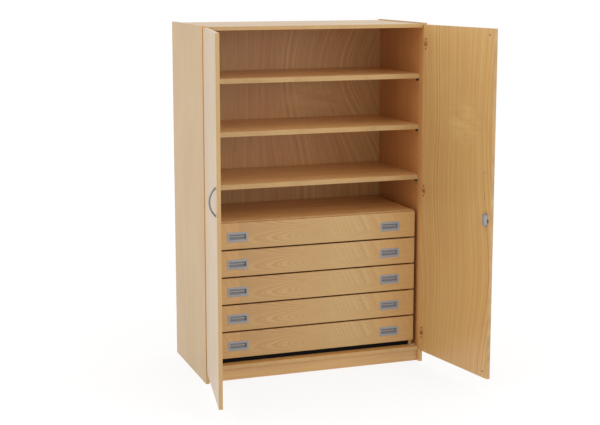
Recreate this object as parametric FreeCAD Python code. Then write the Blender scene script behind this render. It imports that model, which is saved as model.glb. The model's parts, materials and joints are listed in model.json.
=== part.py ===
import FreeCAD, Part
import os

# Storage cabinet with two hinged doors, three adjustable shelves and five flat drawers.
# Millimetres. X runs to the right, Y to the rear and Z up. Y = 0 is the front edge of the
# carcase and Z = 0 is the floor. The doors stand open and the drawers are closed.

V = FreeCAD.Vector
ALONG_X = V(1, 0, 0)
ALONG_Y = V(0, 1, 0)
ALONG_Z = V(0, 0, 1)
FORWARD = V(0, -1, 0)

# Carcase
WIDTH = 1200.0
DEPTH = 600.0
SIDE_HEIGHT = 1805.0
TOP_FACE = 1800.0
BOARD = 19.0
EDGE_ROUND = 1.2
PLINTH_HEIGHT = 66.0
PLINTH_SETBACK = 24.5
BACK_FRONT = 572.0
BACK_THICK = 8.0
GROOVE_DEPTH = 8.0
GROOVE_PLAY = 0.1
INNER = WIDTH / 2 - BOARD
FLOOR_FACE = PLINTH_HEIGHT + BOARD
CEILING = TOP_FACE - BOARD

# Shelves and the studs they lie on
SHELF_TOPS = {"upper": 1541.5, "middle": 1275.5, "lower": 1009.5}
SHELF_THICK = 25.0
SHELF_FRONT = 39.0
SHELF_REAR = 565.0
SHELF_PLAY = 1.0
STUD_ROWS = (58.0, 535.0)
STUD_REACH = 10.0
STUD_DEEP = 12.0
STUD_TALL = 12.5

# Cover caps of the cam connectors
CAP_X = INNER - 24.0
CAP_Y = 37.0
CAP_R = 8.5
CAP_THICK = 1.2

# Drawer unit and drawers
UNIT_HALF = 560.0
UNIT_FRONT = 53.0
UNIT_REAR = 560.0
UNIT_TOP = 819.0
UNIT_INNER = UNIT_HALF - BOARD
RAIL_FRONT = 54.0
RAIL_REAR = 70.0
RAIL_TOP = 110.0
DRAWER_BOTTOMS = (680.0, 538.0, 396.0, 254.0, 112.0)
FRONT_HEIGHT = 134.0
FRONT_FACE = 33.0
FRONT_BACK = FRONT_FACE + BOARD
BOX_HALF = 528.0
BOX_WALL = 12.0
BOX_INNER = BOX_HALF - BOX_WALL
BOX_REAR = 545.0
BOX_LOW = 10.0
BOX_HIGH = 110.0
TRAY_LOW = 20.0
TRAY_THICK = 5.0
TRAY_SUNK = 4.8
TRAY_GROOVE = 5.2

# Runners
RUNNER_FRONT = 56.0
RUNNER_LONG = 500.0
RUNNER_RISE = 45.0
RUNNER_SHEET = 1.5
RUNNER_REACH = 10.5
CHANNEL_HALF = 17.5
SLIDE_HALF = 15.6

# Flush pulls
PULL_X = 418.0
PULL_RISE = 62.0
PULL_WIDE = 110.0
PULL_TALL = 50.0
PULL_PLATE = 1.6
PULL_CORNER = 6.0
BOWL_WIDE = 88.0
BOWL_R = 14.0
BOWL_WALL = 1.3
POCKET_PLAY = 0.5

# Doors, drawn closed and then swung open about the hinge axis
DOOR_EDGE = 590.5
DOOR_MIDDLE = 1.5
DOOR_GAP = 2.0
DOOR_LOW = 66.5
DOOR_HIGH = 1797.0
DOOR_ROUND = 1.5
OPEN_ANGLE = 100.0
AXIS_X = 586.0
AXIS_Y = -9.7
DOOR_INSIDE = -DOOR_GAP
DOOR_OUTSIDE = DOOR_INSIDE - BOARD

# Hinges
HINGE_HEIGHTS = (1698.8, 933.0, 167.7)
CUP_X = DOOR_EDGE - 22.0
CUP_R = 17.4
CUP_DEEP = 12.3
CUP_PLAY = 0.15
WELL_NEAR = 13.0
WELL_FAR = 10.0
WELL_HALF = 10.5
WELL_DEEP = 10.8
FLANGE_HALF_WIDE = 6.0
FLANGE_HALF_TALL = 31.0
FLANGE_THICK = 0.8
NOTCH_WIDE = 10.2
NOTCH_DEEP = 13.2
NOTCH_HALF = 8.8
LUG_LONG = 6.5
LUG_HALF = 2.9
LUG_NEAR = 4.3
LUG_FAR = 8.2
HINGE_PIN_R = 1.75
EYE_BORE_R = 1.8
EYE_HALF = 4.0
EYE_LEAF_HALF = 3.2
EYE_TIP = 3.2
EYE_RELIEF = 5.2
EYE_SUNK = 25.0
MORTISE_PLAY = 0.05

# Bow handles
HANDLE_X = DOOR_EDGE - 538.5
HANDLE_HEIGHT = 1032.0
HANDLE_FOOT = 66.0
HANDLE_RISE = 29.0
HANDLE_HALF = 4.5
HANDLE_BEVEL = 2.4
HANDLE_ARC_R = (HANDLE_FOOT ** 2 + HANDLE_RISE ** 2) / (2 * HANDLE_RISE)
HANDLE_TURN = 140.0

# Rim lock on the right door, whose bolt slides behind the left door
LOCK_LEFT = DOOR_EDGE - 570.3
LOCK_RIGHT = DOOR_EDGE - 538.3
LOCK_LOW = 842.5
LOCK_HIGH = 892.5
LOCK_RISE = 18.5
LOCK_ROUND = 14.0
LOCK_STUB_X = DOOR_EDGE - 555.5
LOCK_STUB_RISE = 6.0
LOCK_STUB_R = 5.5
LOCK_STUB_LONG = 9.0
BOLT_NOSE = DOOR_EDGE - 577.0
BOLT_TAIL = LOCK_RIGHT - 4.0
BOLT_HEIGHT = 861.0
BOLT_HALF = 8.0
BOLT_FACE = DOOR_INSIDE + 1.2
BOLT_THICK = 4.4
BOLT_PLAY = 0.4
PLUG_X = DOOR_EDGE - 554.3
PLUG_HEIGHT = 880.5
PLUG_R = 5.0
PLUG_BORE_R = 5.05
HOUSING_R = 9.0
HOUSING_PLAY = 0.1
HOUSING_PROUD = 1.5
KEYWAY_WIDE = 1.8
KEYWAY_TALL = 6.8
KEYWAY_DEEP = 9.0


def block(x0, x1, y0, y1, z0, z1):
    return Part.makeBox(x1 - x0, y1 - y0, z1 - z0, V(x0, y0, z0))


def rod(radius, start, along, length):
    return Part.makeCylinder(radius, length, start, along)


def cut(shape, tools):
    return shape.cut(Part.makeCompound(tools))


def edges_along(shape, axis, y):
    """Straight edges that run along the axis in the plane at this Y."""
    found = []
    for edge in shape.Edges:
        first, last = edge.Vertexes
        run = (last.Point - first.Point).normalize()
        if abs(abs(run.dot(axis)) - 1) < 1e-6 and abs(first.Y - y) < 1e-6 and abs(last.Y - y) < 1e-6:
            found.append(edge)
    return found


def mirrored(shape):
    return shape.mirror(V(0, 0, 0), ALONG_X)


def both_sides(solids):
    return solids + [mirrored(solid) for solid in solids]


def extruded(points, run):
    return Part.Face(Part.makePolygon(points + points[:1])).extrude(run)


def swung(shape, hand):
    """The piece of a closed door turned open, with hand 1 for the right door and -1 for the left."""
    turned = shape.copy()
    turned.rotate(V(hand * AXIS_X, AXIS_Y, 0), ALONG_Z, hand * OPEN_ANGLE)
    return turned


def save(name, shape):
    shape.exportStep(os.path.join("parts", name + ".step"))


def save_group(name, solids):
    save(name, Part.makeCompound(solids))


def back_groove(x0, x1, z0, z1):
    return block(x0, x1, BACK_FRONT - GROOVE_PLAY, BACK_FRONT + BACK_THICK + GROOVE_PLAY, z0, z1)


# Upright side with the groove for the back and the mortises of the hinge eyes
def side_panel():
    panel = block(INNER, WIDTH / 2, 0, DEPTH, 0, SIDE_HEIGHT)
    panel = panel.makeFillet(EDGE_ROUND, edges_along(panel, ALONG_Z, 0))
    tools = [back_groove(INNER, INNER + GROOVE_DEPTH, PLINTH_HEIGHT, TOP_FACE)]
    leaf = EYE_LEAF_HALF + MORTISE_PLAY
    tall = EYE_HALF + MORTISE_PLAY
    for z in HINGE_HEIGHTS:
        tools.append(block(AXIS_X - leaf, AXIS_X + leaf, 0, EYE_SUNK + 1, z - tall, z + tall))
    return cut(panel, tools)


def board_between_sides(z0, z1, groove):
    panel = block(-INNER, INNER, 0, DEPTH, z0, z1)
    panel = panel.makeFillet(EDGE_ROUND, edges_along(panel, ALONG_X, 0))
    return panel.cut(groove)


def top_panel():
    return board_between_sides(CEILING, TOP_FACE, back_groove(-INNER, INNER, CEILING, CEILING + GROOVE_DEPTH))


def bottom_panel():
    groove = back_groove(-INNER, INNER, FLOOR_FACE - GROOVE_DEPTH, FLOOR_FACE)
    return board_between_sides(PLINTH_HEIGHT, FLOOR_FACE, groove)


def plinth_board():
    return block(-INNER, INNER, PLINTH_SETBACK, PLINTH_SETBACK + BOARD, 0, PLINTH_HEIGHT)


def back_panel():
    sunk = GROOVE_DEPTH - 0.5
    half = INNER + sunk
    return block(-half, half, BACK_FRONT, BACK_FRONT + BACK_THICK, FLOOR_FACE - sunk, CEILING + sunk)


def shelf(top):
    half = INNER - SHELF_PLAY
    board = block(-half, half, SHELF_FRONT, SHELF_REAR, top - SHELF_THICK, top)
    return board.makeFillet(EDGE_ROUND, edges_along(board, ALONG_X, SHELF_FRONT))


# Moulded studs on the sides that carry the shelves
def shelf_pins():
    studs = []
    for top in SHELF_TOPS.values():
        under = top - SHELF_THICK
        for y in STUD_ROWS:
            near = y - STUD_DEEP / 2
            studs.append(block(INNER - STUD_REACH, INNER, near, near + STUD_DEEP, under - STUD_TALL, under))
    return both_sides(studs)


def cam_caps():
    return both_sides([rod(CAP_R, V(CAP_X, CAP_Y, FLOOR_FACE), ALONG_Z, CAP_THICK)])


def unit_side():
    return block(UNIT_INNER, UNIT_HALF, UNIT_FRONT, UNIT_REAR, FLOOR_FACE, UNIT_TOP - BOARD)


def unit_top():
    board = block(-UNIT_HALF, UNIT_HALF, UNIT_FRONT, UNIT_REAR, UNIT_TOP - BOARD, UNIT_TOP)
    return board.makeFillet(EDGE_ROUND, edges_along(board, ALONG_X, UNIT_FRONT))


def unit_base_rail():
    return block(-UNIT_INNER, UNIT_INNER, RAIL_FRONT, RAIL_REAR, FLOOR_FACE, RAIL_TOP)


# Bent sheet lying along Y: an upright web with a flange at its top and its bottom
def runner_profile(web, reach, half, middle):
    flange = half - RUNNER_SHEET
    face = web + RUNNER_SHEET if reach > web else web - RUNNER_SHEET
    corners = [
        (web, -half),
        (reach, -half),
        (reach, -flange),
        (face, -flange),
        (face, flange),
        (reach, flange),
        (reach, half),
        (web, half),
    ]
    return extruded([V(x, RUNNER_FRONT, middle + z) for x, z in corners], V(0, RUNNER_LONG, 0))


def runner_channels():
    channels = []
    for bottom in DRAWER_BOTTOMS:
        middle = bottom + RUNNER_RISE
        channels.append(runner_profile(UNIT_INNER, UNIT_INNER - RUNNER_REACH, CHANNEL_HALF, middle))
    return both_sides(channels)


def drawer_slides(bottom):
    return both_sides([runner_profile(BOX_HALF, BOX_HALF + RUNNER_REACH, SLIDE_HALF, bottom + RUNNER_RISE)])


def tray_groove(x0, x1, y0, y1, bottom):
    low = bottom + TRAY_LOW - GROOVE_PLAY
    return block(x0, x1, y0, y1, low, low + TRAY_THICK + 2 * GROOVE_PLAY)


def bowl_block(x, middle, play):
    half_wide = BOWL_WIDE / 2 + BOWL_WALL + play
    half_tall = BOWL_R + BOWL_WALL + play
    deep = BOWL_R - PULL_PLATE + BOWL_WALL + play
    return block(x - half_wide, x + half_wide, FRONT_FACE, FRONT_FACE + deep,
                 middle - half_tall, middle + half_tall)


def drawer_front(bottom):
    front = block(-UNIT_HALF, UNIT_HALF, FRONT_FACE, FRONT_BACK, bottom, bottom + FRONT_HEIGHT)
    front = front.makeFillet(EDGE_ROUND, edges_along(front, ALONG_X, FRONT_FACE))
    half = BOX_INNER + TRAY_GROOVE
    tools = [tray_groove(-half, half, FRONT_BACK - TRAY_GROOVE, FRONT_BACK, bottom)]
    for x in (-PULL_X, PULL_X):
        tools.append(bowl_block(x, bottom + PULL_RISE, POCKET_PLAY))
    return cut(front, tools)


def drawer_walls(bottom):
    side = block(BOX_INNER, BOX_HALF, FRONT_BACK, BOX_REAR, bottom + BOX_LOW, bottom + BOX_HIGH)
    side = side.cut(tray_groove(BOX_INNER, BOX_INNER + TRAY_GROOVE, FRONT_BACK, BOX_REAR, bottom))
    over_tray = bottom + TRAY_LOW + TRAY_THICK + GROOVE_PLAY
    back = block(-BOX_INNER, BOX_INNER, BOX_REAR - BOX_WALL, BOX_REAR, over_tray, bottom + BOX_HIGH)
    return both_sides([side]) + [back]


def drawer_tray(bottom):
    half = BOX_INNER + TRAY_SUNK
    low = bottom + TRAY_LOW
    return block(-half, half, FRONT_BACK - TRAY_SUNK, BOX_REAR, low, low + TRAY_THICK)


# Flush pull: thin plate on the front with a trough-shaped finger bowl behind it
def flush_pull(x, middle):
    face = FRONT_FACE - PULL_PLATE
    plate = block(x - PULL_WIDE / 2, x + PULL_WIDE / 2, face, FRONT_FACE,
                  middle - PULL_TALL / 2, middle + PULL_TALL / 2)
    corners = [edge for edge in plate.Edges if abs(edge.Length - PULL_PLATE) < 1e-6]
    plate = plate.makeFillet(PULL_CORNER, corners)
    trough = rod(BOWL_R, V(x - BOWL_WIDE / 2, face, middle), ALONG_X, BOWL_WIDE)
    return plate.fuse(bowl_block(x, middle, 0)).cut(trough).removeSplitter()


# Door half of a hinge: cup and flange let into the door, with lugs that carry the pin
def hinge_cup(z):
    cup = rod(CUP_R, V(CUP_X, DOOR_INSIDE, z), FORWARD, CUP_DEEP)
    flange = block(CUP_X - FLANGE_HALF_WIDE, CUP_X + FLANGE_HALF_WIDE,
                   DOOR_INSIDE, DOOR_INSIDE + FLANGE_THICK,
                   z - FLANGE_HALF_TALL, z + FLANGE_HALF_TALL)
    well = block(CUP_X - WELL_FAR, CUP_X + WELL_NEAR, DOOR_INSIDE - WELL_DEEP, 0,
                 z - WELL_HALF, z + WELL_HALF)
    relief = block(AXIS_X - EYE_RELIEF, DOOR_EDGE, DOOR_OUTSIDE, 0, z - LUG_NEAR, z + LUG_NEAR)
    lugs = []
    for low in (-LUG_FAR, LUG_NEAR):
        lugs.append(block(AXIS_X - LUG_LONG, AXIS_X + LUG_HALF, AXIS_Y - LUG_HALF, AXIS_Y + LUG_HALF,
                          z + low, z + low + LUG_FAR - LUG_NEAR))
    pin = rod(HINGE_PIN_R, V(AXIS_X, AXIS_Y, z - LUG_FAR), ALONG_Z, 2 * LUG_FAR)
    body = cut(cup.fuse(flange), [well, relief])
    return body.fuse(lugs + [pin]).removeSplitter()


# Carcase half of a hinge: a leaf let into the edge of the side, drilled for the pin
def hinge_eye(z):
    leaf = block(AXIS_X - EYE_LEAF_HALF, AXIS_X + EYE_LEAF_HALF, AXIS_Y - EYE_TIP, EYE_SUNK,
                 z - EYE_HALF, z + EYE_HALF)
    return leaf.cut(rod(EYE_BORE_R, V(AXIS_X, AXIS_Y, z - EYE_HALF), ALONG_Z, 2 * EYE_HALF))


# Bow of bevelled bar, bent to an arc, whose feet stand on the outer face of the door
def bow_handle():
    centre = V(HANDLE_X, DOOR_OUTSIDE + HANDLE_ARC_R - HANDLE_RISE, HANDLE_HEIGHT)
    outer = HANDLE_HALF
    inner = HANDLE_HALF - HANDLE_BEVEL
    section = [(outer, inner), (inner, outer), (-inner, outer), (-outer, inner),
               (-outer, -inner), (-inner, -outer), (inner, -outer), (outer, -inner)]
    points = [V(centre.x + side, centre.y - HANDLE_ARC_R - rise, centre.z) for side, rise in section]
    face = Part.Face(Part.makePolygon(points + points[:1]))
    face.rotate(centre, ALONG_X, -HANDLE_TURN / 2)
    bow = face.revolve(centre, ALONG_X, HANDLE_TURN)
    room = HANDLE_ARC_R + 2 * HANDLE_HALF
    outside = block(HANDLE_X - room, HANDLE_X + room, DOOR_OUTSIDE - room, DOOR_OUTSIDE,
                    HANDLE_HEIGHT - room, HANDLE_HEIGHT + room)
    return bow.common(outside)


def door_panel(cuts):
    panel = block(DOOR_MIDDLE, DOOR_EDGE, DOOR_OUTSIDE, DOOR_INSIDE, DOOR_LOW, DOOR_HIGH)
    uprights = edges_along(panel, ALONG_Z, DOOR_INSIDE) + edges_along(panel, ALONG_Z, DOOR_OUTSIDE)
    panel = panel.makeFillet(DOOR_ROUND, uprights)
    tools = list(cuts)
    for z in HINGE_HEIGHTS:
        tools.append(rod(CUP_R + CUP_PLAY, V(CUP_X, DOOR_INSIDE, z), FORWARD, CUP_DEEP + CUP_PLAY))
        tools.append(block(DOOR_EDGE - NOTCH_WIDE, DOOR_EDGE, DOOR_INSIDE - NOTCH_DEEP, DOOR_INSIDE,
                           z - NOTCH_HALF, z + NOTCH_HALF))
    return cut(panel, tools)


def lock_bore():
    return rod(HOUSING_R + HOUSING_PLAY, V(PLUG_X, DOOR_INSIDE, PLUG_HEIGHT), FORWARD, BOARD)


# Drum-shaped lock case with a rod socket at each end, hollowed for the bolt
def lock_case():
    face = DOOR_INSIDE + LOCK_RISE
    case = block(LOCK_LEFT, LOCK_RIGHT, DOOR_INSIDE, face, LOCK_LOW, LOCK_HIGH)
    case = case.makeFillet(LOCK_ROUND, edges_along(case, ALONG_Z, face))
    stub_low = V(LOCK_STUB_X, DOOR_INSIDE + LOCK_STUB_RISE, LOCK_LOW - LOCK_STUB_LONG)
    stub_high = V(LOCK_STUB_X, DOOR_INSIDE + LOCK_STUB_RISE, LOCK_HIGH)
    case = case.fuse([rod(LOCK_STUB_R, stub_low, ALONG_Z, LOCK_STUB_LONG),
                      rod(LOCK_STUB_R, stub_high, ALONG_Z, LOCK_STUB_LONG)])
    channel = block(LOCK_LEFT, BOLT_TAIL + 2 * BOLT_PLAY,
                    BOLT_FACE - BOLT_PLAY, BOLT_FACE + BOLT_THICK + BOLT_PLAY,
                    BOLT_HEIGHT - BOLT_HALF - BOLT_PLAY, BOLT_HEIGHT + BOLT_HALF + BOLT_PLAY)
    return case.cut(channel).removeSplitter()


def lock_bolt():
    centre = BOLT_NOSE + BOLT_HALF
    bar = block(centre, BOLT_TAIL, BOLT_FACE, BOLT_FACE + BOLT_THICK,
                BOLT_HEIGHT - BOLT_HALF, BOLT_HEIGHT + BOLT_HALF)
    nose = rod(BOLT_HALF, V(centre, BOLT_FACE, BOLT_HEIGHT), ALONG_Y, BOLT_THICK)
    return bar.fuse(nose).removeSplitter()


def lock_cylinder():
    tube = rod(HOUSING_R, V(PLUG_X, DOOR_INSIDE, PLUG_HEIGHT), FORWARD, BOARD + HOUSING_PROUD)
    return tube.cut(rod(PLUG_BORE_R, V(PLUG_X, DOOR_INSIDE, PLUG_HEIGHT), FORWARD, BOARD + HOUSING_PROUD))


def lock_plug():
    face = DOOR_OUTSIDE - HOUSING_PROUD
    plug = rod(PLUG_R, V(PLUG_X, face, PLUG_HEIGHT), ALONG_Y, DOOR_INSIDE - face)
    keyway = block(PLUG_X - KEYWAY_WIDE / 2, PLUG_X + KEYWAY_WIDE / 2, face, face + KEYWAY_DEEP,
                   PLUG_HEIGHT - KEYWAY_TALL / 2, PLUG_HEIGHT + KEYWAY_TALL / 2)
    return plug.cut(keyway)


os.makedirs("parts", exist_ok=True)

right_side = side_panel()
save("right_side_panel", right_side)
save("left_side_panel", mirrored(right_side))
save("top_panel", top_panel())
save("bottom_panel", bottom_panel())
save("plinth_board", plinth_board())
save("back_panel", back_panel())
for place, top in SHELF_TOPS.items():
    save("shelf_" + place, shelf(top))
save_group("shelf_pins", shelf_pins())
save_group("cam_caps", cam_caps())

save("drawer_unit_right_side", unit_side())
save("drawer_unit_left_side", mirrored(unit_side()))
save("drawer_unit_top", unit_top())
save("drawer_unit_base_rail", unit_base_rail())
save_group("runner_channels", runner_channels())

for number, bottom in enumerate(DRAWER_BOTTOMS, start=1):
    name = "drawer_" + str(number) + "_"
    save(name + "front", drawer_front(bottom))
    save_group(name + "walls", drawer_walls(bottom))
    save(name + "tray", drawer_tray(bottom))
    save_group(name + "pulls", [flush_pull(x, bottom + PULL_RISE) for x in (-PULL_X, PULL_X)])
    save_group(name + "slides", drawer_slides(bottom))

save_group("hinge_eyes", both_sides([hinge_eye(z) for z in HINGE_HEIGHTS]))
cups = [hinge_cup(z) for z in HINGE_HEIGHTS]
handle = bow_handle()

save("right_door_panel", swung(door_panel([lock_bore()]), 1))
save("right_door_handle", swung(handle, 1))
save_group("right_hinge_cups", [swung(cup, 1) for cup in cups])
save("lock_case", swung(lock_case(), 1))
save("lock_cylinder", swung(lock_cylinder(), 1))
save("lock_plug", swung(lock_plug(), 1))
save("lock_bolt", swung(lock_bolt(), 1))

save("left_door_panel", swung(mirrored(door_panel([])), -1))
save("left_door_handle", swung(mirrored(handle), -1))
save_group("left_hinge_cups", [swung(mirrored(cup), -1) for cup in cups])
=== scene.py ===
import json
import math

import bmesh
import bpy
import numpy as np
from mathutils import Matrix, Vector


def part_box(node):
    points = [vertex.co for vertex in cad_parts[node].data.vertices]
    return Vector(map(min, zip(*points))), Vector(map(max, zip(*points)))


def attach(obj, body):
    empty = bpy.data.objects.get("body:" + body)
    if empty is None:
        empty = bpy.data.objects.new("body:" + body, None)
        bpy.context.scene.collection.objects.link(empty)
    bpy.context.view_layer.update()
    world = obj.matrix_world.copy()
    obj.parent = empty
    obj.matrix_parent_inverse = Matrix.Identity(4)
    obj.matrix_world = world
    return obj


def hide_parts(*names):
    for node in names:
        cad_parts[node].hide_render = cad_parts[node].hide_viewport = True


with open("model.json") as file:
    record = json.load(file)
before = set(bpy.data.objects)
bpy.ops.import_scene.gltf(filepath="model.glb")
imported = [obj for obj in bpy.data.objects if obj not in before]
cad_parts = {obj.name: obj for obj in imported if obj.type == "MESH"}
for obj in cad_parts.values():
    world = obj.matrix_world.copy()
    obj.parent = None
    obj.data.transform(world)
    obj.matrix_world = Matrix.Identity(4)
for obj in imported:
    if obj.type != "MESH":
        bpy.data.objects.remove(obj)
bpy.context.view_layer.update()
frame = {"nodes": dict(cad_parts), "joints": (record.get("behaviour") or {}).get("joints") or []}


# Sides: two upright 19 mm chipboards with beech decor on both faces and a banded edge in front. Each
# has two drilled rows for the shelf studs, 5 mm holes at a pitch of 32 mm, drawn as dots of painted
# shade.
# The grain stands upright, and the outer face of the left one has a pale spot above mid height. The
# right one's inner face has lighter, redder tones of painted light, lightest at its front low down.
class Socket:
    """An output socket in a shader tree. Sums and products of sockets add Math nodes to the tree."""

    def __init__(self, tree, output=None):
        self.tree = tree
        self.output = output

    def node(self, kind, settings, sockets, output=0):
        """Adds a node: its settings come first, then the value or link of each socket it names."""
        made = self.tree.nodes.new(kind)
        for name, value in settings.items():
            setattr(made, name, value)
        for key, value in sockets.items():
            if isinstance(value, Socket):
                self.tree.links.new(value.output, made.inputs[key])
            else:
                made.inputs[key].default_value = value
        return Socket(self.tree, made.outputs[output]) if made.outputs else None

    def math(self, operation, *others):
        """Math node on this value and the others, such as its SQRT, or the MINIMUM of it and another."""
        return self.node("ShaderNodeMath", {"operation": operation}, dict(enumerate((self, *others))))

    def __add__(self, other):
        return self.math("ADD", other)

    def __sub__(self, other):
        return self.math("SUBTRACT", other)

    def __rsub__(self, other):
        return self.node("ShaderNodeMath", {"operation": "SUBTRACT"}, {0: other, 1: self})

    def __mul__(self, other):
        return self.math("MULTIPLY", other)

    def __truediv__(self, other):
        return self.math("DIVIDE", other)

    def __gt__(self, other):
        return self.math("GREATER_THAN", other)

    def __lt__(self, other):
        return self.math("LESS_THAN", other)

    __radd__ = __add__
    __rmul__ = __mul__

    def hypot(self, other):
        """Root of the sum of the squares of this value and another."""
        return (self * self + other * other).math("SQRT")

    def wrap(self, period):
        """This value brought into one period about 0, so that a pattern on it starts again."""
        return self.math("WRAP", period / 2, -period / 2)

    def ramp(self, low, high):
        """0 below low, 1 above high, and a smooth step between."""
        sockets = {"Value": self, "From Min": low, "From Max": high}
        return self.node("ShaderNodeMapRange", {"interpolation_type": "SMOOTHSTEP"}, sockets)

    def stretched(self, scale):
        """This place with a scale of its own along each axis."""
        return self.node("ShaderNodeVectorMath", {"operation": "MULTIPLY"}, {0: self, 1: scale})

    def noise(self, waves, detail=2.0):
        """Smooth noise about 0, between -0.5 and 0.5, with its own waves per metre along each axis."""
        sockets = {"Vector": self.stretched(waves), "Scale": 1.0, "Detail": detail}
        return self.node("ShaderNodeTexNoise", {}, sockets) - 0.5

    def streaks(self):
        """Uneven lines about 0 that follow this value: noise along a single axis."""
        sockets = {"W": self, "Scale": 1.0, "Detail": 4.0, "Roughness": 0.6}
        return self.node("ShaderNodeTexNoise", {"noise_dimensions": "1D"}, sockets) - 0.5

    def axes(self):
        """The three values of this place."""
        return [self.node("ShaderNodeSeparateXYZ", {}, {0: self}, axis) for axis in range(3)]

    def blend(self, first, second):
        """Colour between first and second, with this value as the share of second."""
        return self.node("ShaderNodeMix", {"data_type": "RGBA"}, {0: self, 6: first, 7: second}, 2)


def srgb(red, green, blue):
    """Linear colour of an 8-bit screen colour: the screen's curve undone channel by channel."""
    screen = np.array((red, green, blue)) / 255
    linear = np.where(screen <= 0.04045, screen / 12.92, ((screen + 0.055) / 1.055) ** 2.4)
    return (*linear.tolist(), 1.0)


def two_tones(light, dark):
    """The light and the dark tone of a finish, from two screen colours."""
    return srgb(*light), srgb(*dark)


def empty_tree(owner):
    """Clears the shader tree of a material or world, and gives a socket to add nodes with."""
    owner.use_nodes = True
    owner.node_tree.nodes.clear()
    return Socket(owner.node_tree)


def new_finish(name):
    """A material with an empty tree, and the piece's own coordinates in metres."""
    material = bpy.data.materials.new(name)
    return material, empty_tree(material).node("ShaderNodeTexCoord", {}, {}, "Object")


def close_finish(place, sockets):
    """Ends a material's tree with a shader that has these values and links."""
    shader = place.node("ShaderNodeBsdfPrincipled", {}, sockets)
    place.node("ShaderNodeOutputMaterial", {}, {"Surface": shader})


def dress(material, *names):
    """Gives the material to CAD nodes, which keep their own shape."""
    for name in names:
        for slot in frame["nodes"][name].material_slots:
            slot.material = material


BEECH_TONES = two_tones((202, 167, 110), (162, 119, 67))
BEECH_PORE = srgb(128, 86, 50)
BEECH_ROUGH = 0.42
ROUGH_SPAN = 0.12
LACQUER = 0.25
LACQUER_ROUGH = 0.22
UPRIGHT_FACING_X = (0, 0, math.radians(90))
UPRIGHT_FACING_Y = (0, 0, 0)
LEVEL_FACING_Y = (0, math.radians(90), 0)
LEVEL_FACING_Z = (math.radians(90), 0, math.radians(90))

# Waves of the decor's noise per metre: across the grain, through the board and along the grain.
DRIFT_WAVES = (3.0, 3.0, 1.2)
SWAY_WAVES = (16.0, 16.0, 3.5)
FADE_WAVES = (4.5, 4.5, 1.1)
CLOUD_WAVES = (5.0, 5.0, 1.8)
EYE_WAVES = (9.0, 9.0, 30.0)
FIBRE_WAVES = (420.0, 420.0, 9.0)
PORE_WAVES = (1300.0, 1300.0, 110.0)

# How far the rings wander in metres, and how much each part of the figure adds to the tone.
DRIFT_REACH = 0.07
SWAY_REACH = 0.016
FADE_DEPTH = 1.8
BAND_MEAN = 0.33
EYE_CORE, EYE_RIM = 0.3, 1.1
EYE_CALM = 0.6
EYE_RIPPLE = 0.8
EYE_PALE = 0.08
CLOUD_DEPTH = 0.4
FIBRE_DEPTH = 0.5
TONE_MEAN = 0.4
PORE_FROM, PORE_FULL = 0.16, 0.3
PORE_DEPTH = 0.4

# Painted shade: the drilled holes are drawn as dark dots, with no hollow in the shape.
HOLE_PAINTED_SHADE = srgb(70, 38, 20)
HOLE_PITCH = 0.032
HOLE_R = 0.0025
HOLE_RIM = 0.15
HOLE_DEPTH = 4.0
HOLE_ROWS = (0.058, 0.535)
HOLE_LOW = 0.88
HOLE_HIGH = 1.72


def board_axes(place, turn, centre):
    """The board's own place: first axis across the grain, second through the board, third along it."""
    sockets = {"Vector": place, "Location": centre, "Rotation": turn}
    return place.node("ShaderNodeMapping", {"vector_type": "TEXTURE"}, sockets)


def fan(ring, waist, middle=0.3, swell=0.3, length=1.5):
    """Figure of a plain cut. Its lines draw together at the waist's height and swell out half a length
    above and below: the ring number is the place across, over a width that follows a cosine."""

    def rings(across, along):
        spread = 1 - ((along - waist) * (2 * math.pi / length)).math("COSINE") * swell
        return (across - middle) / spread / ring

    return rings


def cats_eye(across, along, half_across, half_along):
    """Pale spot with short cross bands, as where a branch was near: 1 in its middle, 0 outside."""

    def spot(place_across, place_along):
        side = (place_across - across) / half_across
        rise = (place_along - along) / half_along
        return 1 - side.hypot(rise).ramp(EYE_CORE, EYE_RIM)

    return spot


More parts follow.
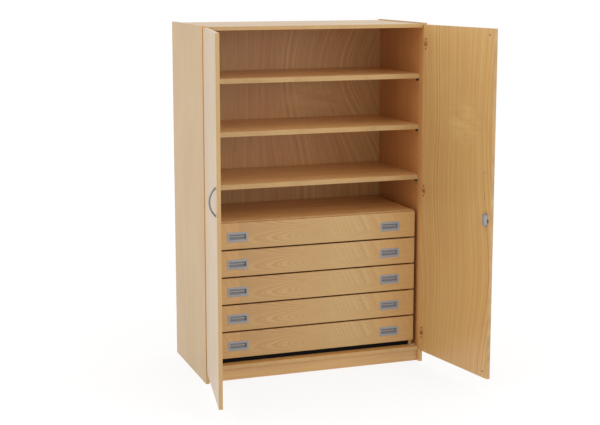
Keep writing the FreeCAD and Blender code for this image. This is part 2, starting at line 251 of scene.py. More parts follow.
def beech(name, turn, rings, tones=BEECH_TONES, centre=(0, 0, 0), figure=0.5, bands=0.0, wander=1.0,
          repeat=None, eye=None, shade=None, faces=(), marks=None, lacquer=LACQUER):
    """Beech decor under a satin lacquer. Lines of uneven width follow the ring number and each ring may
    darken towards its edge; slow noise lets the rings wander, and fine noise drawn out along the grain
    gives fibres and pores. Repeat gives lengths after which the figure starts again, shade darkens parts
    of it, faces finds parts with two other tones, some of which are painted light and shade, and marks
    finds drilled holes, which are painted dark as their shade."""
    material, place = new_finish(name)
    grain = board_axes(place, turn, centre)
    across, through, along = grain.axes()
    if repeat:
        across, along = across.wrap(repeat[0]), along.wrap(repeat[1])
        grain = place.node("ShaderNodeCombineXYZ", {}, {0: across, 1: through, 2: along})
    drift = grain.noise(DRIFT_WAVES, 1.0) * (DRIFT_REACH * wander)
    sway = grain.noise(SWAY_WAVES) * (SWAY_REACH * wander)
    number = rings(across + drift + sway, along)
    lines = number.streaks() * (grain.noise(FADE_WAVES) * FADE_DEPTH + 1.0) * figure
    if bands:
        late = number.math("FRACT")
        lines = lines + (late * late - BAND_MEAN) * bands
    if eye:
        spot = eye(across, along)
        ripple = grain.noise(EYE_WAVES) * figure
        lines = lines * (1 - spot * EYE_CALM) + spot * (ripple * EYE_RIPPLE - EYE_PALE * figure)
    fibre = grain.noise(FIBRE_WAVES, 3.0)
    cloud = grain.noise(CLOUD_WAVES)
    tone = lines + cloud * CLOUD_DEPTH + fibre * FIBRE_DEPTH + TONE_MEAN
    if shade:
        tone = tone + shade(along)
    colour = tone.blend(*tones)
    for found, face_tones in faces:
        colour = found(across, through, along).blend(colour, tone.blend(*face_tones))
    pores = grain.noise(PORE_WAVES, 1.0).ramp(PORE_FROM, PORE_FULL)
    colour = (pores * PORE_DEPTH).blend(colour, BEECH_PORE)
    height = tone * 0.5 - pores
    if marks:
        holes = marks(across, through, along)
        colour = holes.blend(colour, HOLE_PAINTED_SHADE)
        height = height - holes * HOLE_DEPTH
    normal = place.node("ShaderNodeBump", {}, {"Strength": 0.25, "Distance": 0.0002, "Height": height})
    rough = tone * ROUGH_SPAN + (BEECH_ROUGH - ROUGH_SPAN / 2)
    close_finish(place, {"Base Color": colour, "Roughness": rough, "Normal": normal,
                         "Coat Weight": lacquer, "Coat Roughness": LACQUER_ROUGH})
    return material


FACE_SKIN = 0.0012
BEYOND_BOARDS = 2.0
SIDE_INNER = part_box("right_side_panel")[0].x
TOP_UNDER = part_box("top_panel")[0].z
LEFT_SIDE_TONES = two_tones((194, 163, 110), (157, 118, 68))
SIDE_BAND_TONES = two_tones((228, 170, 92), (198, 138, 66))
# Painted light: redder, lighter tones on the right side's inner face, lighter still at its front.
RIGHT_INNER_PAINTED_LIGHT_TONES = two_tones((218, 160, 98), (176, 114, 62))
RIGHT_STRIP_PAINTED_LIGHT_TONES = two_tones((246, 196, 128), (220, 162, 96))
BAND_FROM, BAND_FULL = 0.02, 0.25
STRIP_FROM, STRIP_FULL = 0.06, 0.015
STRIP_HIGH, STRIP_LOW = 1.0, 0.75
STRIP_LEAST = 0.3


def near_face(level, end=BEYOND_BOARDS):
    """Finds the face of a board that lies at this depth through it, as far along it as the end."""

    def found(across, through, along):
        return ((through - level).math("ABSOLUTE") < FACE_SKIN) * (along < end)

    return found


def drilled_rows(inner_face):
    """Rows of holes on the inner face: a dark dot of painted shade wherever a place is within a hole's
    radius of a pitch.
    """

    def marks(across, through, along):
        up = along.wrap(HOLE_PITCH)
        away = [up.hypot(across - row) for row in HOLE_ROWS]
        dots = sum(1 - far.ramp(HOLE_R * (1 - HOLE_RIM), HOLE_R * (1 + HOLE_RIM)) for far in away)
        return dots * near_face(inner_face, HOLE_HIGH)(across, through, along) * (along > HOLE_LOW)

    return marks


def front_edge(across, through, along):
    """Finds the banded front edge of a side, which is warmer in tone except close to the floor."""
    return (across < FACE_SKIN) * along.ramp(BAND_FROM, BAND_FULL)


def painted_light_strip(across, through, along):
    """Finds the front of the right side's inner face, where lighter tones are painted light, most of all
    low down.
    """
    low = along.ramp(STRIP_HIGH, STRIP_LOW) * (1 - STRIP_LEAST) + STRIP_LEAST
    inner = near_face(-SIDE_INNER)(across, through, along)
    return inner * across.ramp(STRIP_FROM, STRIP_FULL) * low


dress(beech("left_side_decor_painted_shade", UPRIGHT_FACING_X, fan(ring=0.03, waist=1.36, swell=0.35, length=1.3),
            LEFT_SIDE_TONES, figure=0.32,
            eye=cats_eye(across=0.25, along=1.38, half_across=0.12, half_along=0.12),
            faces=[(front_edge, SIDE_BAND_TONES)], marks=drilled_rows(SIDE_INNER)),
      "left_side_panel")
dress(beech("right_side_decor_painted_light", UPRIGHT_FACING_X, fan(ring=0.04, waist=1.36, length=1.3),
            faces=[(near_face(-SIDE_INNER, TOP_UNDER), RIGHT_INNER_PAINTED_LIGHT_TONES),
                   (painted_light_strip, RIGHT_STRIP_PAINTED_LIGHT_TONES)],
            marks=drilled_rows(-SIDE_INNER)),
      "right_side_panel")


# Top, bottom and plinth: boards of the same make between the sides, with the grain from side to side.
# The top lies a little below the ends of the sides, and the plinth stands back under the bottom.
TOP_TONES = two_tones((194, 160, 103), (155, 113, 62))
# Painted light: lighter, redder tones on the underside of the top.
TOP_UNDER_PAINTED_LIGHT_TONES = two_tones((226, 166, 96), (190, 126, 66))
BOTTOM_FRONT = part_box("bottom_panel")[0].y
# Painted light: lighter, redder tones on the bottom's faces behind its front edge.
BOTTOM_FACE_PAINTED_LIGHT_TONES = two_tones((222, 170, 98), (190, 132, 68))
PLINTH_TONES = two_tones((216, 178, 120), (174, 129, 76))


def behind_edge(front):
    """Finds everything behind the banded front edge."""
    return lambda across, through, along: across > front + FACE_SKIN


dress(beech("top_board_decor_painted_light", LEVEL_FACING_Z, fan(ring=0.03, waist=-0.3), TOP_TONES,
            faces=[(near_face(TOP_UNDER), TOP_UNDER_PAINTED_LIGHT_TONES)]), "top_panel")
dress(beech("bottom_decor_painted_light", LEVEL_FACING_Z, fan(ring=0.03, waist=0.2),
            faces=[(behind_edge(BOTTOM_FRONT), BOTTOM_FACE_PAINTED_LIGHT_TONES)]), "bottom_panel")
dress(beech("plinth_decor", LEVEL_FACING_Y, fan(ring=0.02, waist=0.4, middle=-0.1), PLINTH_TONES),
      "plinth_board")


# Back: an 8 mm panel let into grooves on all four sides. Its decor is a bold upright cut whose lines
# draw together behind the upper shelf and spread below it, with a cat's eye in the second compartment.
BACK_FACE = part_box("back_panel")[0].y
# Painted light: lighter, redder tones on the back's front face.
BACK_FACE_PAINTED_LIGHT_TONES = two_tones((221, 182, 118), (183, 114, 62))
BACK_LACQUER = 0.1
dress(beech("back_decor_painted_light", UPRIGHT_FACING_Y,
            fan(ring=0.02, waist=1.52, middle=-0.2, swell=0.2, length=1.4), figure=1.0, wander=1.3,
            eye=cats_eye(across=0.18, along=1.385, half_across=0.24, half_along=0.1),
            faces=[(near_face(BACK_FACE), BACK_FACE_PAINTED_LIGHT_TONES)], lacquer=BACK_LACQUER),
      "back_panel")


# Shelves: 25 mm boards that lie loose on small black studs, with the grain from side to side and a
# banded front edge. Four studs sit under each shelf, close to its corners.
SHELF_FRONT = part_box("shelf_upper")[0].y
SHELF_RING = 0.07
SHELF_FIGURE = 0.9
SHELF_BAND_TONES = two_tones((196, 162, 106), (157, 115, 64))
# Painted light: lighter tones on the shelves' faces behind the front edge.
SHELF_FACE_PAINTED_LIGHT_TONES = two_tones((234, 190, 126), (198, 145, 86))
STUD_TONES = two_tones((20, 18, 18), (32, 30, 30))
SPECK_WAVES = (900.0, 900.0, 900.0)
SPECK_DEPTH = 1.4
SPECK_GLOSS = 0.2


def moulded_plastic(name, tones, rough):
    """Fine-grained moulded plastic: small specks in the colour and a leathery bump."""
    material, place = new_finish(name)
    grain = place.noise(SPECK_WAVES)
    colour = (grain * SPECK_DEPTH + 0.5).blend(*tones)
    normal = place.node("ShaderNodeBump", {}, {"Strength": 0.3, "Distance": 0.0001, "Height": grain})
    gloss = grain * SPECK_GLOSS + rough
    close_finish(place, {"Base Color": colour, "Roughness": gloss, "Normal": normal})
    return material


dress(beech("shelf_decor_painted_light", LEVEL_FACING_Z, fan(SHELF_RING, waist=0.1), SHELF_BAND_TONES,
            figure=SHELF_FIGURE, faces=[(behind_edge(SHELF_FRONT), SHELF_FACE_PAINTED_LIGHT_TONES)]),
      "shelf_upper", "shelf_middle", "shelf_lower")
dress(moulded_plastic("stud_black", STUD_TONES, rough=0.5), "shelf_pins")


# Cover caps: thin light grey plastic discs near the front corners of the bottom board, pressed over
# the connectors that draw it to the sides.
CAP_TONES = two_tones((236, 236, 238), (222, 222, 224))
dress(moulded_plastic("cap_grey", CAP_TONES, rough=0.4), "cam_caps")


# Drawer unit: a low chest of the same board that stands inside the cabinet, with a black steel rail
# under its drawers and zinc-plated sheet runners screwed to its sides.
CHEST_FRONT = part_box("drawer_unit_top")[0].y
# Painted light: lighter tones on the chest's top behind its front edge.
CHEST_FACE_PAINTED_LIGHT_TONES = two_tones((234, 188, 126), (200, 146, 88))
RAIL_TONES = two_tones((8, 10, 14), (16, 18, 23))
ZINC_TONES = two_tones((176, 178, 180), (140, 142, 146))
PATCH_WAVES = (30.0, 30.0, 30.0)
PATCH_DEPTH = 0.5
BRUSH_DEPTH = 0.9
METAL_MEAN = 0.4
METAL_GLOSS = 0.15
DRAWERS = range(1, 6)


def metal(name, tones, rough, metallic, brush, deep=None, specular=0.5):
    """Metal with a rubbed finish: noise drawn out along brush darkens it and changes its gloss. Deep
    finds the sunk parts, and the darker colour that is painted there as their shade."""
    material, place = new_finish(name)
    lines = place.noise(brush, 3.0)
    patches = place.noise(PATCH_WAVES)
    colour = (lines * BRUSH_DEPTH + patches * PATCH_DEPTH + METAL_MEAN).blend(*tones)
    if deep:
        colour = deep[0](place).blend(colour, deep[1])
    normal = place.node("ShaderNodeBump", {}, {"Strength": 0.15, "Distance": 0.0001, "Height": lines})
    gloss = lines * METAL_GLOSS + patches * METAL_GLOSS + rough
    close_finish(place, {"Base Color": colour, "Roughness": gloss, "Metallic": metallic,
                         "Specular IOR Level": specular, "Normal": normal})
    return material


def in_each_drawer(part):
    """Names of the same node in all five drawers."""
    return ["drawer_%d_%s" % (number, part) for number in DRAWERS]


dress(beech("chest_side_decor", UPRIGHT_FACING_X, fan(ring=0.03, waist=0.4, length=1.3)),
      "drawer_unit_left_side", "drawer_unit_right_side")
dress(beech("chest_top_board_decor_painted_light", LEVEL_FACING_Z, fan(SHELF_RING, waist=-0.2), figure=SHELF_FIGURE,
            faces=[(behind_edge(CHEST_FRONT), CHEST_FACE_PAINTED_LIGHT_TONES)]), "drawer_unit_top")
dress(metal("rail_black", RAIL_TONES, rough=0.6, metallic=0.0, brush=(40.0, 900.0, 900.0), specular=0.1),
      "drawer_unit_base_rail")
dress(metal("runner_zinc", ZINC_TONES, rough=0.38, metallic=0.9, brush=(600.0, 30.0, 600.0)),
      "runner_channels", *in_each_drawer("slides"))


# Drawers: flat boxes with a 19 mm decor front, 12 mm sides of lighter board and a thin tray let into
# grooves. The fronts are cut so that each shows the same slab-cut figure: two leaves half a metre long
# that meet in a seam, with arches drawn out from it to the left and rippled chevrons to the right.
FRONT_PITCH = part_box("drawer_1_front")[0].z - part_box("drawer_2_front")[0].z
FRONT_MIDDLE = (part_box("drawer_5_front")[0].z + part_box("drawer_5_front")[1].z) / 2
FRONT_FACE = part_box("drawer_1_front")[0].y
FRONT_TONES = two_tones((197, 168, 112), (167, 117, 65))
FRONT_END_TONES = two_tones((201, 164, 104), (172, 114, 60))
# Painted shade: a redder tone on the edges and the rear of each front, for the gaps between them.
FRONT_EDGE_PAINTED_SHADE_TONES = two_tones((206, 150, 88), (170, 112, 58))
BOX_TONES = two_tones((216, 188, 146), (190, 156, 110))
LEAF = 0.491
SEAM = 0.080
ARCH_RING = 0.0036
ARCH_BOW = 0.008
ARCH_AXES = (0.022, -0.07)
STRAIGHT_RING = 0.01
STRAIGHT_EDGE = 0.042
STRAIGHT_CLIMB = 0.12
RIPPLE_LINES = 30.0
RIPPLE_LEAN = 0.45
RIPPLE_REACH = 0.011
RIPPLE_PITCH = 0.019
LEFT_DARKER = 0.14
LEFT_DARK_FROM, LEFT_DARK_FULL = -0.05, -0.5
RIGHT_PALER = 0.04
END_FROM, END_FULL = 0.15, 0.45


def slab_cut(across, along):
    """Ring number on the two leaves. On the left one two piths sink with the root of the way from the
    seam, and the number is the distance from the nearer one over the ring width, so that the lines are
    parabolas. On the right one a line climbs from the seam: below it the number grows with the way down
    from it, and above it with the root of the way along the board, moved aside by a zigzag."""
    left = along < 0.0
    high, low = [(across - axis).math("ABSOLUTE") for axis in ARCH_AXES]
    off = high.math("MINIMUM", low)
    arch = (off * off + along.math("ABSOLUTE") * ARCH_BOW).math("SQRT") / ARCH_RING
    below = across - STRAIGHT_EDGE + along * STRAIGHT_CLIMB
    zigzag = across.math("PINGPONG", RIPPLE_PITCH / 2) * (RIPPLE_REACH * 2 / RIPPLE_PITCH)
    ripple = (along + zigzag - below * RIPPLE_LEAN).math("SQRT") * RIPPLE_LINES
    right = (below > 0.0) * (below / STRAIGHT_RING) + (below < 0.0) * ripple
    return left * arch + (1 - left) * right


def leaf_shade(along):
    """The left leaf darkens away from the seam, and the right one is paler."""
    left = along < 0.0
    darker = along.ramp(LEFT_DARK_FROM, LEFT_DARK_FULL) * LEFT_DARKER
    return left * darker - (1 - left) * RIGHT_PALER


def leaf_end(across, through, along):
    """Finds the far end of the right leaf, which is warmer in tone."""
    return along.ramp(END_FROM, END_FULL)


def behind_face(across, through, along):
    """Finds the edges and the rear of a drawer front, whose redder tone is painted shade."""
    return through > FACE_SKIN


dress(beech("front_decor_painted_shade", LEVEL_FACING_Y, slab_cut, FRONT_TONES, (SEAM, FRONT_FACE, FRONT_MIDDLE),
            figure=0.65, bands=0.2, wander=0.3, repeat=(FRONT_PITCH, 2 * LEAF), shade=leaf_shade,
            faces=[(leaf_end, FRONT_END_TONES), (behind_face, FRONT_EDGE_PAINTED_SHADE_TONES)]),
      *in_each_drawer("front"))
dress(beech("box_decor", LEVEL_FACING_Y, fan(ring=0.03, waist=0.0, middle=-0.4), BOX_TONES),
      *in_each_drawer("walls"))
dress(beech("tray_decor", LEVEL_FACING_Z, fan(ring=0.03, waist=0.0), BOX_TONES), *in_each_drawer("tray"))


# Flush pulls: grey pressed shells let into pockets of the drawer fronts, two on each. A flat rim with
# rounded corners lies on the front, and a trough for the fingertips is sunk in it, with a sloping lower
# wall and a low ridge along its floor.
PULL_TONES = two_tones((152, 152, 155), (138, 138, 141))
# Painted shade: the pulls turn darker towards the floors of their troughs.
PULL_PAINTED_SHADE = srgb(134, 130, 127)
PULL_X = 0.418
PULL_RISE = 0.062
PULL_HALF = (0.055, 0.025)
PULL_CORNER = 0.009
PULL_PLATE = 0.0016
PULL_SHEET = 0.0011
TROUGH_HALF = (0.044, 0.014)
TROUGH_CORNER = 0.005
TROUGH_WALL = 0.0024
TROUGH_SLOPE = 0.0062
TROUGH_DEEP = 0.0122
RIDGE_HALF = (0.0425, 0.0065)
RIDGE_HEIGHT = 0.0015
RIDGE_RISE = 0.004
PULL_GAP = 0.0004
EDGE_LINES, RIM_LINES, WALL_LINES, FLOOR_LINES = 5, 8, 14, 16
SHARP_FROM = math.radians(35)


def add_object(name, data):
    """A new object at the origin, in the scene's own collection."""
    added = bpy.data.objects.new(name, data)
    bpy.context.scene.collection.objects.link(added)
    return added


def new_shell(name, grids, wrap):
    """One mesh of grids of points, copies x rows x columns x 3: neighbouring points make quads, and wrap
    joins the last column to the first. Points that fall together, as at a pole, become one."""
    index = np.arange(grids[..., 0].size).reshape(grids.shape[:3])
    near, ahead = (index, np.roll(index, -1, axis=2)) if wrap else (index[:, :, :-1], index[:, :, 1:])
    quads = np.stack([near[:, :-1], ahead[:, :-1], ahead[:, 1:], near[:, 1:]], axis=-1).reshape(-1, 4)
    mesh = bpy.data.meshes.new(name)
    mesh.from_pydata(grids.reshape(-1, 3).tolist(), [], quads.tolist())
    weld = bmesh.new()
    weld.from_mesh(mesh)
    bmesh.ops.remove_doubles(weld, verts=weld.verts, dist=1e-6)
    if wrap:
        bmesh.ops.recalc_face_normals(weld, faces=weld.faces)
    weld.to_mesh(mesh)
    weld.free()
    mesh.shade_smooth()
    mesh.set_sharp_from_angle(angle=SHARP_FROM)
    return add_object(name, mesh)


def pull_lines(half, trough):
    """Grid lines over one width, close together over the rounded edges and the trough's walls."""
    edge = half - PULL_PLATE + PULL_PLATE * np.sin(np.linspace(0.25, 1, EDGE_LINES) * math.pi / 2)
    rim = np.linspace(trough + PULL_GAP, half - PULL_PLATE, RIM_LINES)
    wall = np.linspace(trough - TROUGH_SLOPE, trough, WALL_LINES)
    side = np.concatenate([wall, rim, edge])
    floor = np.linspace(TROUGH_SLOPE - trough, trough - TROUGH_SLOPE, FLOOR_LINES)[1:-1]
    return np.concatenate([-side[::-1], floor, side])


def pull_surface(x, z):
    """Front of a pull, from the plate's plane: a trough, rounded corners and a rounded rim. The corner
    squares of the grid are drawn onto quarter discs, and the rim falls on a quarter circle. The trough
    is as deep as the way in from its rounded outline over the wall's width, but its lower wall slopes,
    and a low ridge with the section of a parabola runs along its floor."""
    x, z = np.meshgrid(x, z)
    flat = [half - PULL_CORNER for half in PULL_HALF]
    a = np.clip((np.abs(x) - flat[0]) / PULL_CORNER, 0, 1)
    b = np.clip((np.abs(z) - flat[1]) / PULL_CORNER, 0, 1)
    inset_a, inset_b = a * np.sqrt(1 - b * b / 2), b * np.sqrt(1 - a * a / 2)
    x = np.sign(x) * (np.minimum(np.abs(x), flat[0]) + PULL_CORNER * inset_a)
    z = np.sign(z) * (np.minimum(np.abs(z), flat[1]) + PULL_CORNER * inset_b)
    from_rim = PULL_CORNER * (1 - np.hypot(inset_a, inset_b))
    past = np.clip(PULL_PLATE - from_rim, 0, PULL_PLATE)
    fall = PULL_PLATE - np.sqrt(PULL_PLATE ** 2 - past ** 2)
    beyond = [np.abs(v) - half + TROUGH_CORNER for v, half in zip((x, z), TROUGH_HALF)]
    corner = np.hypot(np.maximum(beyond[0], 0), np.maximum(beyond[1], 0))
    inward = TROUGH_CORNER - corner - np.minimum(np.maximum(beyond[0], beyond[1]), 0)
    share = np.minimum(inward / TROUGH_WALL, (z + TROUGH_HALF[1]) / TROUGH_SLOPE)
    ridge = np.clip(1 - ((z - RIDGE_HEIGHT) / RIDGE_HALF[1]) ** 2, 0, 1)
    ridge = ridge * np.clip((RIDGE_HALF[0] - np.abs(x)) / TROUGH_WALL, 0, 1)
    return np.stack([x, fall + TROUGH_DEEP * np.clip(share, 0, 1) - RIDGE_RISE * ridge, z], axis=-1)


def trough_painted_shade(place):
    """Grows from 0 on the ridges to 1 on the floor of the troughs, where the darker colour is
    painted shade.
    """
    floor = FRONT_FACE + TROUGH_DEEP - PULL_PLATE
    return place.axes()[1].ramp(floor - RIDGE_RISE, floor)


pull_finish = metal("pull_grey_painted_shade", PULL_TONES, rough=0.45, metallic=0.15, brush=(60.0, 700.0, 700.0),
                    deep=(trough_painted_shade, PULL_PAINTED_SHADE))
pull_grid = pull_surface(*[pull_lines(half, trough) for half, trough in zip(PULL_HALF, TROUGH_HALF)])
for number in DRAWERS:
    front_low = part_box("drawer_%d_front" % number)[0]
    places = [(x, front_low.y - PULL_PLATE, front_low.z + PULL_RISE) for x in (-PULL_X, PULL_X)]
    grids = np.stack([pull_grid + place for place in places])
    pulls = new_shell("pull_shells_%d" % number, grids, wrap=False)
    sheet = pulls.modifiers.new("sheet", "SOLIDIFY")
    sheet.thickness = PULL_SHEET
    sheet.offset = -1
    pulls.data.materials.append(pull_finish)
    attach(pulls, "drawer_%d" % number)
    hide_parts("drawer_%d_pulls" % number)


# Doors: two 19 mm boards with upright grain and banded edges. Both stand open at rest, so their decor
# is laid out in the axes of a closed door, measured from the hinge pin.
DOORS = {-1: "left_door", 1: "right_door"}
FREE_EDGE = 0.5845
DOOR_INNER = 0.0077
# Partly painted sheen: the left door's beech tones are paler and bluer.
LEFT_DOOR_TONES_WITH_PAINTED_SHEEN = two_tones((201, 177, 141), (166, 134, 97))
LEFT_DOOR_BAND_TONES = two_tones((198, 164, 110), (162, 119, 70))
RIGHT_DOOR_TONES = two_tones((190, 161, 118), (171, 139, 95))
RIGHT_DOOR_BAND_TONES = two_tones((186, 150, 100), (158, 120, 72))
# Painted light: lighter, redder tones on the right door's inner face.
RIGHT_DOOR_INNER_PAINTED_LIGHT_TONES = two_tones((219, 187, 125), (192, 132, 72))
joints = {joint["name"]: joint for joint in frame["joints"]}


def door_axes(hand):
    """Where the pin's axis meets the floor, and the turn about it that opened the closed door."""
    joint = joints[DOORS[hand] + "_hinge"]
    return (*joint["pos_m"][:2], 0.0), hand * math.radians(-joint["range_deg"][0])


def at_free_edge(hand):
    """Finds the banded edge at the free side of a door."""
    return lambda across, through, along: across * -hand > FREE_EDGE - FACE_SKIN


def swayed(rings, top, reach):
    """The same figure drawn aside in one long wave below the top height: a raised cosine of the way down
    moves the place across by up to reach."""

    def moved(across, along):
        down = (top - along).math("MAXIMUM", 0.0)
        wave = 0.5 - (down * (2 * math.pi / top)).math("COSINE") * 0.5
        return rings(across - wave * reach, along)

    return moved


pin, turn = door_axes(-1)
dress(beech("left_door_decor_painted_sheen", (0, 0, turn), fan(ring=0.03, waist=1.3, swell=0.35, length=1.3),
            LEFT_DOOR_TONES_WITH_PAINTED_SHEEN, pin, figure=0.2, faces=[(at_free_edge(-1), LEFT_DOOR_BAND_TONES)]),
      "left_door_panel")
pin, turn = door_axes(1)
right_door_fan = fan(ring=0.012, waist=1.34, middle=-0.3, swell=0.08, length=1.2)
dress(beech("right_door_decor_painted_light", (0, 0, turn), swayed(right_door_fan, top=1.05, reach=-0.045),
            RIGHT_DOOR_TONES, pin, figure=1.6, wander=0.7,
            eye=cats_eye(across=-0.36, along=1.33, half_across=0.16, half_along=0.16),
            faces=[(near_face(DOOR_INNER), RIGHT_DOOR_INNER_PAINTED_LIGHT_TONES),
                   (at_free_edge(1), RIGHT_DOOR_BAND_TONES)]),
      "right_door_panel")


# Hinges: bronzed steel cups let into the doors on flanges with two screws, which turn on pins in
# leaves that are let into the front edges of the sides.
HINGE_TONES = two_tones((208, 158, 100), (190, 138, 84))
HINGE_SCREW_TONES = two_tones((112, 68, 42), (88, 52, 32))
SCREW_BRUSH = (300.0, 300.0, 300.0)
DOOR_EDGE = 0.5905
DOOR_INSIDE = -0.002
HINGE_HEIGHTS = (1.6988, 0.9330, 0.1677)
CUP_REACH = 0.022
CUP_SCREW = 0.026
CUP_FLANGE = 0.0008

# Rows of a screw head as shares of its radius and its height, and 1 in those that the cross cuts. The
# columns of each quarter turn are given in degrees, and 1 in those that lie in an arm of the cross.
HEAD_SIZE = np.array([0, 1, 1, 0.94, 0.82, 0.64, 0.58, 0.22, 0.17, 0])[:, None]
HEAD_RISE = np.array([0, 0, 0.25, 0.55, 0.8, 0.95, 0.97, 1, 1, 1])[:, None]
HEAD_CUT = np.array([0, 0, 0, 0, 0, 0, 1, 1, 1, 1])[:, None]
ARM_DEGREES = (-45, -12, -8, 8, 12)
ARM_CUT = (0, 0, 1, 1, 0)
CROSS_MIDDLE = 0.2
CROSS_DEPTH = 0.7


def on_open_door(hand, reach, proud, height):
    """Points of a closed door, given from its hinge edge, off its inner face and in height, swung open
    about the pin with their door."""
    pin, turn = door_axes(hand)
    x = hand * (DOOR_EDGE - reach) - pin[0]
    y = DOOR_INSIDE + proud - pin[1]
    open_x = x * math.cos(turn) - y * math.sin(turn) + pin[0]
    open_y = x * math.sin(turn) + y * math.cos(turn) + pin[1]
    return np.stack([open_x, open_y, height], axis=-1)


def screw_head(radius, dome):
    """Round head with a cross recess, as distances sideways, upwards and proud. Rows run from the middle
    of the underside round the rim to the middle of the top; within the arms of the cross, and all round
    close to the middle, the top is sunk."""
    angle = (np.arange(4)[:, None] * math.pi / 2 + np.radians(ARM_DEGREES)).ravel()
    cut = HEAD_CUT * np.maximum(np.tile(ARM_CUT, 4), HEAD_SIZE < CROSS_MIDDLE)
    rise = dome * (HEAD_RISE - CROSS_DEPTH * cut)
    return radius * HEAD_SIZE * np.cos(angle), radius * HEAD_SIZE * np.sin(angle), rise


def door_screws(name, hand, places, radius, dome, finish, proud=0.0):
    """Screws on the inner face of a door, each place a reach and a height."""
    sideways, upwards, rise = screw_head(radius, dome)
    heads = [on_open_door(hand, reach + sideways, proud + rise, height + upwards)
             for reach, height in places]
    screws = new_shell(name, np.stack(heads), wrap=True)
    screws.data.materials.append(finish)
    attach(screws, DOORS[hand])


dress(metal("hinge_bronze", HINGE_TONES, rough=0.45, metallic=0.0, brush=(200.0, 200.0, 200.0)),
      "left_hinge_cups", "right_hinge_cups", "hinge_eyes")
screw_bronze = metal("screw_bronze", HINGE_SCREW_TONES, rough=0.45, metallic=0.3, brush=SCREW_BRUSH)
cup_screws = [(CUP_REACH, height + side * CUP_SCREW) for height in HINGE_HEIGHTS for side in (-1, 1)]
for hand, door in DOORS.items():
    door_screws(door + "_hinge_screws", hand, cup_screws, radius=0.0042, dome=0.0011,
                finish=screw_bronze, proud=CUP_FLANGE)


# Bow handles: bent grey bars that thicken a little towards the door. Each is held by two screws put
# through the door, whose heads show on its inner face.
HANDLE_TONES = two_tones((150, 150, 153), (126, 126, 130))
HANDLE_SCREW_TONES = two_tones((164, 130, 92), (132, 102, 70))
DOOR_BOARD = 0.019
HANDLE_REACH = 0.5385
HANDLE_HEIGHT = 1.032
HANDLE_FOOT = 0.066
HANDLE_RISE = 0.029
HANDLE_R = 0.0045
HANDLE_FLARE = 0.14
HANDLE_ROWS, HANDLE_COLUMNS = 61, 24
HANDLE_SCREW = 0.064


def bow_bar(hand):
    """A round section carried along an arc that stands on the door, wider by the sixth power of the way
    from the middle. Where the bar would run into the board its points stay on the face, and a row of no
    width closes each end."""
    arc_r = (HANDLE_FOOT ** 2 + HANDLE_RISE ** 2) / (2 * HANDLE_RISE)
    end = math.acos(1 - HANDLE_RISE / arc_r) + HANDLE_R / arc_r
    sweep = np.linspace(-end, end, HANDLE_ROWS)
    thick = HANDLE_R * (1 + HANDLE_FLARE * (sweep / end) ** 6)
    thick[[0, -1]] = 0
    around = np.linspace(0, 2 * math.pi, HANDLE_COLUMNS, endpoint=False)
    from_centre = arc_r + thick[:, None] * np.cos(around)
    out = np.maximum(from_centre * np.cos(sweep)[:, None] - (arc_r - HANDLE_RISE), 0)
    height = HANDLE_HEIGHT + from_centre * np.sin(sweep)[:, None]
    return on_open_door(hand, HANDLE_REACH + thick[:, None] * np.sin(around), -DOOR_BOARD - out, height)


handle_grey = metal("handle_grey", HANDLE_TONES, rough=0.35, metallic=0.6, brush=(500.0, 500.0, 40.0))
screw_zinc = metal("screw_zinc", HANDLE_SCREW_TONES, rough=0.4, metallic=0.4, brush=SCREW_BRUSH)
handle_screws = [(HANDLE_REACH, HANDLE_HEIGHT + side * HANDLE_SCREW) for side in (-1, 1)]
for hand, door in DOORS.items():
    handle = new_shell(door + "_bow", bow_bar(hand)[None], wrap=True)
    handle.data.materials.append(handle_grey)
    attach(handle, door)
    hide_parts(door + "_handle")
    door_screws(door + "_handle_screws", hand, handle_screws, radius=0.0036, dome=0.0012,
                finish=screw_zinc)


# Rim lock: a die-cast grey case on the inside of the right door with steel rod sockets, a sliding bolt
# that reaches behind the left door, and a nickel-plated cylinder through the door. Small dark screws
# near the top and bottom of the door mark where guides for its rods go.
LOCK_TONES = two_tones((156, 153, 153), (142, 139, 139))
LOCK_STEEL_TONES = two_tones((150, 152, 158), (110, 112, 118))
ROD_SCREW_TONES = two_tones((74, 46, 30), (52, 32, 22))
ROD_REACH = 0.553
ROD_HEIGHTS = (1.766, 0.0986)
dress(metal("lock_grey", LOCK_TONES, rough=0.6, metallic=0.0, brush=(60.0, 700.0, 700.0)), "lock_case")
dress(metal("lock_steel", LOCK_STEEL_TONES, rough=0.3, metallic=0.9, brush=(500.0, 500.0, 60.0)),
      "lock_bolt", "lock_cylinder", "lock_plug")
screw_dark = metal("screw_dark", ROD_SCREW_TONES, rough=0.5, metallic=0.2, brush=SCREW_BRUSH)
rod_screws = [(ROD_REACH, height) for height in ROD_HEIGHTS]
door_screws("rod_guide_screws", 1, rod_screws, radius=0.0044, dome=0.0011, finish=screw_dark)


# Studio: a white surround and a white floor that runs out of sight. Three broad lamps add to the
# surround's soft light: one high in front on the right, a weaker one on the left, a faint one above.
WHITE = (1.0, 1.0, 1.0, 1.0)
FLOOR_HALF = 30.0
FLOOR_GLOW = 0.8
FLOOR_PAINT = 0.92
GLOW_STRENGTH = (1 - (1 - FLOOR_GLOW) * FLOOR_PAINT) / FLOOR_GLOW
LAMP_AIM = (0, 0, 0.9)


def sees_surround(start):
    """1 for camera, mirror and glass rays, 0 for the rays that carry soft light."""
    rays = ("Is Camera Ray", "Is Glossy Ray", "Is Transmission Ray")
    return sum(start.node("ShaderNodeLightPath", {}, {}, ray) for ray in rays).math("MINIMUM", 1.0)


def area_lamp(name, place, size, power, aim=LAMP_AIM):
    """A square lamp that faces the aim."""
    lamp = add_object(name, bpy.data.lights.new(name, "AREA"))
    lamp.data.size = size
    lamp.data.energy = power
    lamp.location = place
    lamp.rotation_euler = Vector(np.subtract(aim, place)).to_track_quat("-Z", "Y").to_euler()


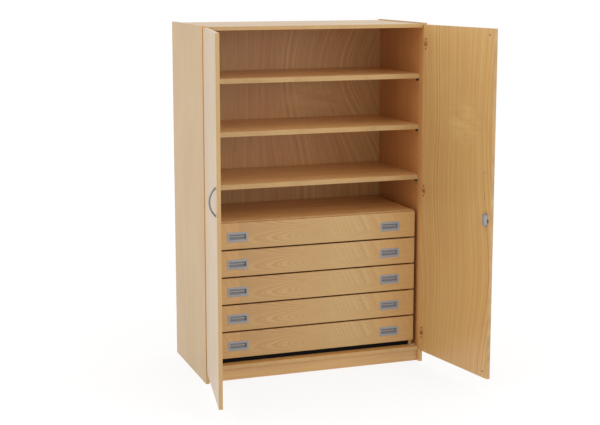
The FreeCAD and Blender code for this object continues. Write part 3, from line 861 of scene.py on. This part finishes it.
world = bpy.data.worlds.new("surround")
start = empty_tree(world)
surround = start.node("ShaderNodeBackground", {}, {"Color": WHITE, "Strength": 1.0})
start.node("ShaderNodeOutputWorld", {}, {"Surface": surround})
bpy.context.scene.world = world

# The floor's glow, which only the camera and shiny surfaces see, makes up for what its paint takes.
floor_white = bpy.data.materials.new("floor_white")
start = empty_tree(floor_white)
matt = start.node("ShaderNodeBsdfDiffuse", {}, {"Color": (FLOOR_PAINT, FLOOR_PAINT, FLOOR_PAINT, 1.0)})
glow = start.node("ShaderNodeEmission", {}, {"Color": WHITE, "Strength": GLOW_STRENGTH})
mixed = start.node("ShaderNodeMixShader", {}, {0: sees_surround(start) * FLOOR_GLOW, 1: matt, 2: glow})
start.node("ShaderNodeOutputMaterial", {}, {"Surface": mixed})
floor_mesh = bpy.data.meshes.new("floor")
corners = [(x * FLOOR_HALF, y * FLOOR_HALF, 0) for x, y in ((-1, -1), (1, -1), (1, 1), (-1, 1))]
floor_mesh.from_pydata(corners, [], [(0, 1, 2, 3)])
floor_mesh.materials.append(floor_white)
floor = add_object("floor", floor_mesh)

area_lamp("front_right", place=(3.0, -6.5, 4.0), size=4.0, power=110.0)
area_lamp("left", place=(-6.0, 0.0, 2.5), size=4.0, power=50.0)
area_lamp("above", place=(0.0, -1.5, 5.5), size=3.0, power=25.0, aim=(0, 0.2, 0.9))


# Camera: at the photograph's viewpoint, to the left of the cabinet's front and a little above its top.
# The long lens looks down by 9 degrees, and a small shift keeps the uprights close to parallel.
CAMERA_PLACE = (-2.2531, -6.0991, 2.0571)
CAMERA_YAW = math.radians(-19.483)
CAMERA_PITCH = math.radians(90 - 9.204)
CAMERA_LENS = 77.50
CAMERA_SENSOR = 36.0
CAMERA_SHIFT = -0.05
camera = add_object("camera", bpy.data.cameras.new("camera"))
camera.location = CAMERA_PLACE
camera.rotation_euler = (CAMERA_PITCH, 0, CAMERA_YAW)
camera.data.sensor_width = CAMERA_SENSOR
camera.data.lens = CAMERA_LENS
camera.data.shift_y = CAMERA_SHIFT
bpy.context.scene.camera = camera
bpy.context.scene.view_settings.view_transform = "Standard"
